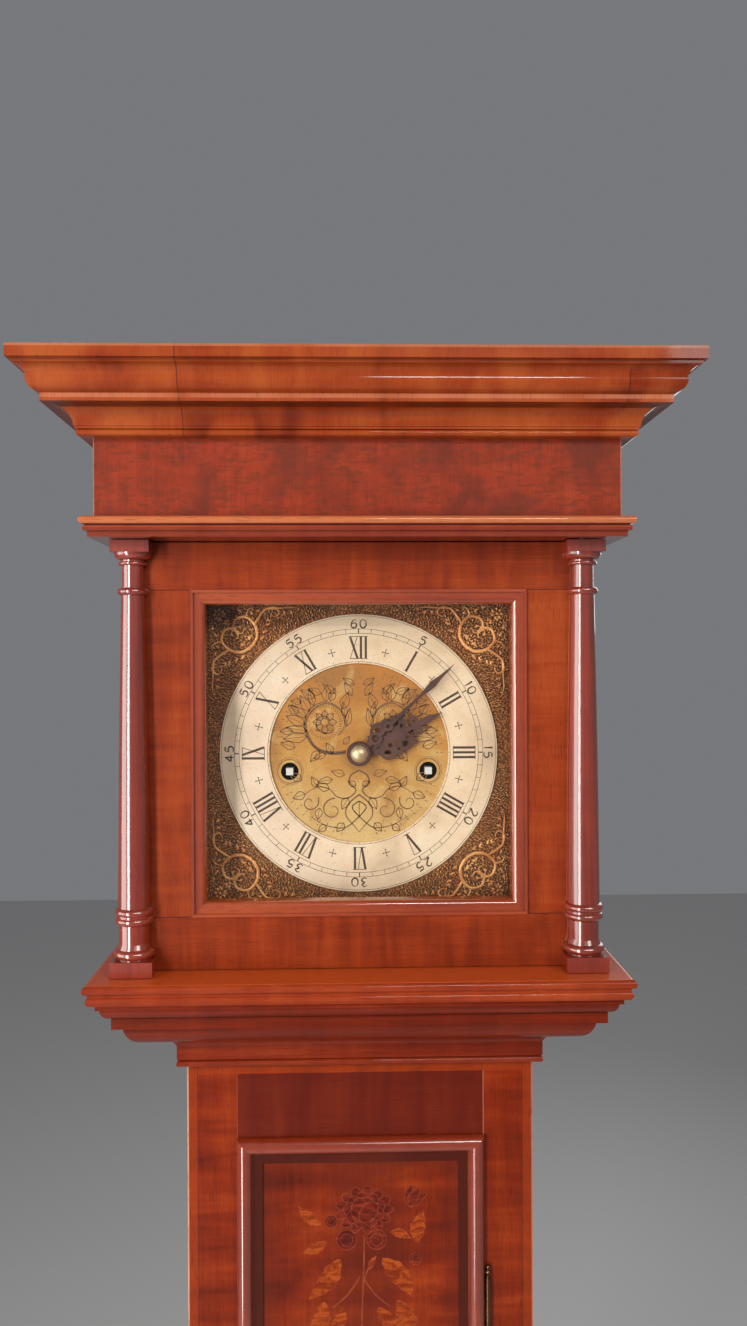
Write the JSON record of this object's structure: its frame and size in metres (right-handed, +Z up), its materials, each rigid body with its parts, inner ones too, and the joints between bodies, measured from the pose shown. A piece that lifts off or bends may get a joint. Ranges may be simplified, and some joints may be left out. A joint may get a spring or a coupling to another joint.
{
  "type": "longcase clock",
  "caption": "Tall walnut longcase clock with a flat-topped columned hood, square brass dial, lipped marquetry trunk door and a weight-driven striking movement.",
  "frame": {"origin": "on the floor, at the centre of the plan of the whole clock", "axes": "+Z up, the clock faces -Y and its back is against the wall at +Y, +X to the right as seen from the front"},
  "size_m": [0.55, 0.285, 2.091],
  "materials": {
    "walnut": "figured walnut veneer, french polished",
    "dark_walnut": "dark polished walnut",
    "oak": "plain oak, left dull",
    "glass": "thin old window glass",
    "silvered_brass": "silvered, matt, with engraved numerals filled in black",
    "gilt_brass": "matted and lacquered",
    "brass": "polished and lacquered",
    "bell_metal": "turned bell metal",
    "steel": "polished",
    "blued_steel": "blued almost black",
    "gut": "twisted gut"
  },
  "bodies": {
    "case": {"backboard": "oak", "trunk_sides": "dark_walnut", "trunk_front": "walnut", "throat_moulding": "walnut", "base_box": "walnut", "base_mouldings": "walnut", "seatboard": "oak", "movement_plates": "brass", "dial_plate": "gilt_brass", "chapter_ring": "silvered_brass", "spandrels": "gilt_brass", "bell": "bell_metal", "bell_stand": "steel", "back_cock": "brass", "line_ends": "gut", "trunk_hinge_leaves": "brass", "time_line": "gut", "strike_line": "gut"},
    "hood": {"hood_top": "oak", "cornice": "walnut", "frieze": "walnut", "architrave": "walnut", "hood_frame": "walnut", "side_glass": "glass", "hood_base": "walnut", "rear_columns": "dark_walnut"},
    "hood_door": {"hood_door_frame": "walnut", "sight_moulding": "walnut", "hood_glass": "glass", "columns": "dark_walnut", "hood_door_pivots": "steel"},
    "trunk_door": {"trunk_door_board": "walnut", "trunk_door_lip": "walnut", "trunk_hinge_knuckles": "brass", "trunk_lock": "brass"},
    "lock_bolt": {"lock_bolt": "steel"},
    "key": {"key": "steel"},
    "minute_arbor": {"centre_wheel": "brass", "minute_hand": "blued_steel"},
    "minute_wheel": {"minute_wheel": "brass"},
    "hour_pipe": {"hour_wheel": "brass", "hour_hand": "blued_steel"},
    "time_great_wheel": {"time_great_wheel": "brass"},
    "third_wheel": {"third_wheel": "brass"},
    "escape_wheel": {"escape_wheel": "brass"},
    "anchor": {"anchor": "steel"},
    "pendulum": {"pendulum_rod": "steel", "pendulum_bob": "brass"},
    "time_barrel": {"time_barrel": "brass"},
    "time_weight": {"time_weight": "brass"},
    "time_pulley": {"time_pulley": "brass"},
    "strike_great_wheel": {"strike_great_wheel": "brass"},
    "pin_wheel": {"pin_wheel": "brass"},
    "hoop_wheel": {"hoop_wheel": "brass"},
    "warning_wheel": {"warning_wheel": "brass"},
    "fly": {"fly": "steel"},
    "hammer": {"hammer": "steel"},
    "strike_barrel": {"strike_barrel": "brass"},
    "strike_weight": {"strike_weight": "brass"},
    "strike_pulley": {"strike_pulley": "brass"}
  },
  "joints": [
    {"name": "hood_slide", "type": "slide", "parent": "case", "child": "hood", "axis": [0, -1, 0], "range_m": [0, 0.25]},
    {"name": "hood_door_turn", "type": "hinge", "parent": "hood", "child": "hood_door", "pos_m": [0.1935, -0.0595, 1.76], "axis": [0, 0, 1], "range_deg": [0, 110]},
    {"name": "trunk_door_turn", "type": "hinge", "parent": "case", "child": "trunk_door", "pos_m": [0.114, -0.0255, 0.96665], "axis": [0, 0, 1], "range_deg": [0, 110]},
    {"name": "key_turn", "type": "hinge", "parent": "trunk_door", "child": "key", "pos_m": [-0.079, -0.024, 1.02665], "axis": [0, 1, 0], "range_deg": [0, 90]},
    {"name": "bolt_slide", "type": "slide", "parent": "trunk_door", "child": "lock_bolt", "axis": [-1, 0, 0], "range_m": [0, 0.008]},
    {"name": "minute_turn", "type": "hinge", "parent": "case", "child": "minute_arbor", "pos_m": [0, 0.04, 1.76], "axis": [0, 1, 0], "continuous": true},
    {"name": "minute_wheel_turn", "type": "hinge", "parent": "case", "child": "minute_wheel", "pos_m": [0.019, 0.04, 1.73425], "axis": [0, 1, 0], "continuous": true},
    {"name": "hour_turn", "type": "hinge", "parent": "case", "child": "hour_pipe", "pos_m": [0, 0.04, 1.76], "axis": [0, 1, 0], "continuous": true},
    {"name": "time_great_turn", "type": "hinge", "parent": "case", "child": "time_great_wheel", "pos_m": [0.063, 0.04, 1.7435], "axis": [0, 1, 0], "continuous": true},
    {"name": "third_turn", "type": "hinge", "parent": "case", "child": "third_wheel", "pos_m": [0.016, 0.04, 1.79], "axis": [0, 1, 0], "continuous": true},
    {"name": "escape_turn", "type": "hinge", "parent": "case", "child": "escape_wheel", "pos_m": [0, 0.04, 1.8134], "axis": [0, 1, 0], "continuous": true},
    {"name": "pendulum_swing", "type": "hinge", "parent": "case", "child": "pendulum", "pos_m": [0, 0.0965, 1.843], "axis": [0, 1, 0], "range_deg": [-2.5, 2.5]},
    {"name": "anchor_rock", "type": "hinge", "parent": "case", "child": "anchor", "pos_m": [0, 0.04, 1.843], "axis": [0, 1, 0], "range_deg": [-2.5, 2.5]},
    {"name": "time_weight_lift", "type": "slide", "parent": "case", "child": "time_weight", "axis": [0, 0, 1], "range_m": [0, 1.15], "deforming": ["time_line"]},
    {"name": "time_barrel_turn", "type": "hinge", "parent": "case", "child": "time_barrel", "pos_m": [0.063, 0.04, 1.7435], "axis": [0, 1, 0], "range_deg": [0, 5720]},
    {"name": "time_pulley_turn", "type": "hinge", "parent": "time_weight", "child": "time_pulley", "pos_m": [0.0648, 0.04, 0.373], "axis": [0, 1, 0], "range_deg": [0, 2660]},
    {"name": "strike_weight_lift", "type": "slide", "parent": "case", "child": "strike_weight", "axis": [0, 0, 1], "range_m": [0, 1.15], "deforming": ["strike_line"]},
    {"name": "strike_barrel_turn", "type": "hinge", "parent": "case", "child": "strike_barrel", "pos_m": [-0.063, 0.04, 1.7435], "axis": [0, 1, 0], "range_deg": [0, 5720]},
    {"name": "strike_pulley_turn", "type": "hinge", "parent": "strike_weight", "child": "strike_pulley", "pos_m": [-0.0612, 0.04, 0.373], "axis": [0, 1, 0], "range_deg": [0, 2660]},
    {"name": "hoop_turn", "type": "hinge", "parent": "case", "child": "hoop_wheel", "pos_m": [-0.0274, 0.04, 1.8195], "axis": [0, 1, 0], "continuous": true},
    {"name": "strike_great_turn", "type": "hinge", "parent": "case", "child": "strike_great_wheel", "pos_m": [-0.063, 0.04, 1.7435], "axis": [0, 1, 0], "continuous": true},
    {"name": "pin_turn", "type": "hinge", "parent": "case", "child": "pin_wheel", "pos_m": [-0.0414, 0.04, 1.7943], "axis": [0, 1, 0], "continuous": true},
    {"name": "warning_turn", "type": "hinge", "parent": "case", "child": "warning_wheel", "pos_m": [-0.0474, 0.04, 1.8288], "axis": [0, 1, 0], "continuous": true},
    {"name": "fly_turn", "type": "hinge", "parent": "case", "child": "fly", "pos_m": [-0.0359, 0.04, 1.8425], "axis": [0, 1, 0], "continuous": true},
    {"name": "hammer_lift", "type": "hinge", "parent": "case", "child": "hammer", "pos_m": [-0.0705, 0.047, 1.8], "axis": [0, 1, 0], "range_deg": [-6, 0]}
  ],
  "couplings": [
    {"joint": "minute_wheel_turn", "follows": "minute_turn", "ratio": -1},
    {"joint": "hour_turn", "follows": "minute_turn", "ratio": 0.083333},
    {"joint": "time_great_turn", "follows": "minute_turn", "ratio": -0.083333},
    {"joint": "third_turn", "follows": "minute_turn", "ratio": -7.5},
    {"joint": "escape_turn", "follows": "minute_turn", "ratio": 60},
    {"joint": "anchor_rock", "follows": "pendulum_swing", "ratio": 1},
    {"joint": "time_barrel_turn", "follows": "time_weight_lift", "rad_per_m": 86.207},
    {"joint": "time_pulley_turn", "follows": "time_weight_lift", "rad_per_m": 40},
    {"joint": "strike_barrel_turn", "follows": "strike_weight_lift", "rad_per_m": 86.207},
    {"joint": "strike_pulley_turn", "follows": "strike_weight_lift", "rad_per_m": 40},
    {"joint": "strike_great_turn", "follows": "hoop_turn", "ratio": 0.011905},
    {"joint": "pin_turn", "follows": "hoop_turn", "ratio": -0.125},
    {"joint": "warning_turn", "follows": "hoop_turn", "ratio": -8},
    {"joint": "fly_turn", "follows": "hoop_turn", "ratio": 54.857},
    {"joint": "key_turn", "follows": "bolt_slide", "rad_per_m": 196.35}
  ]
}
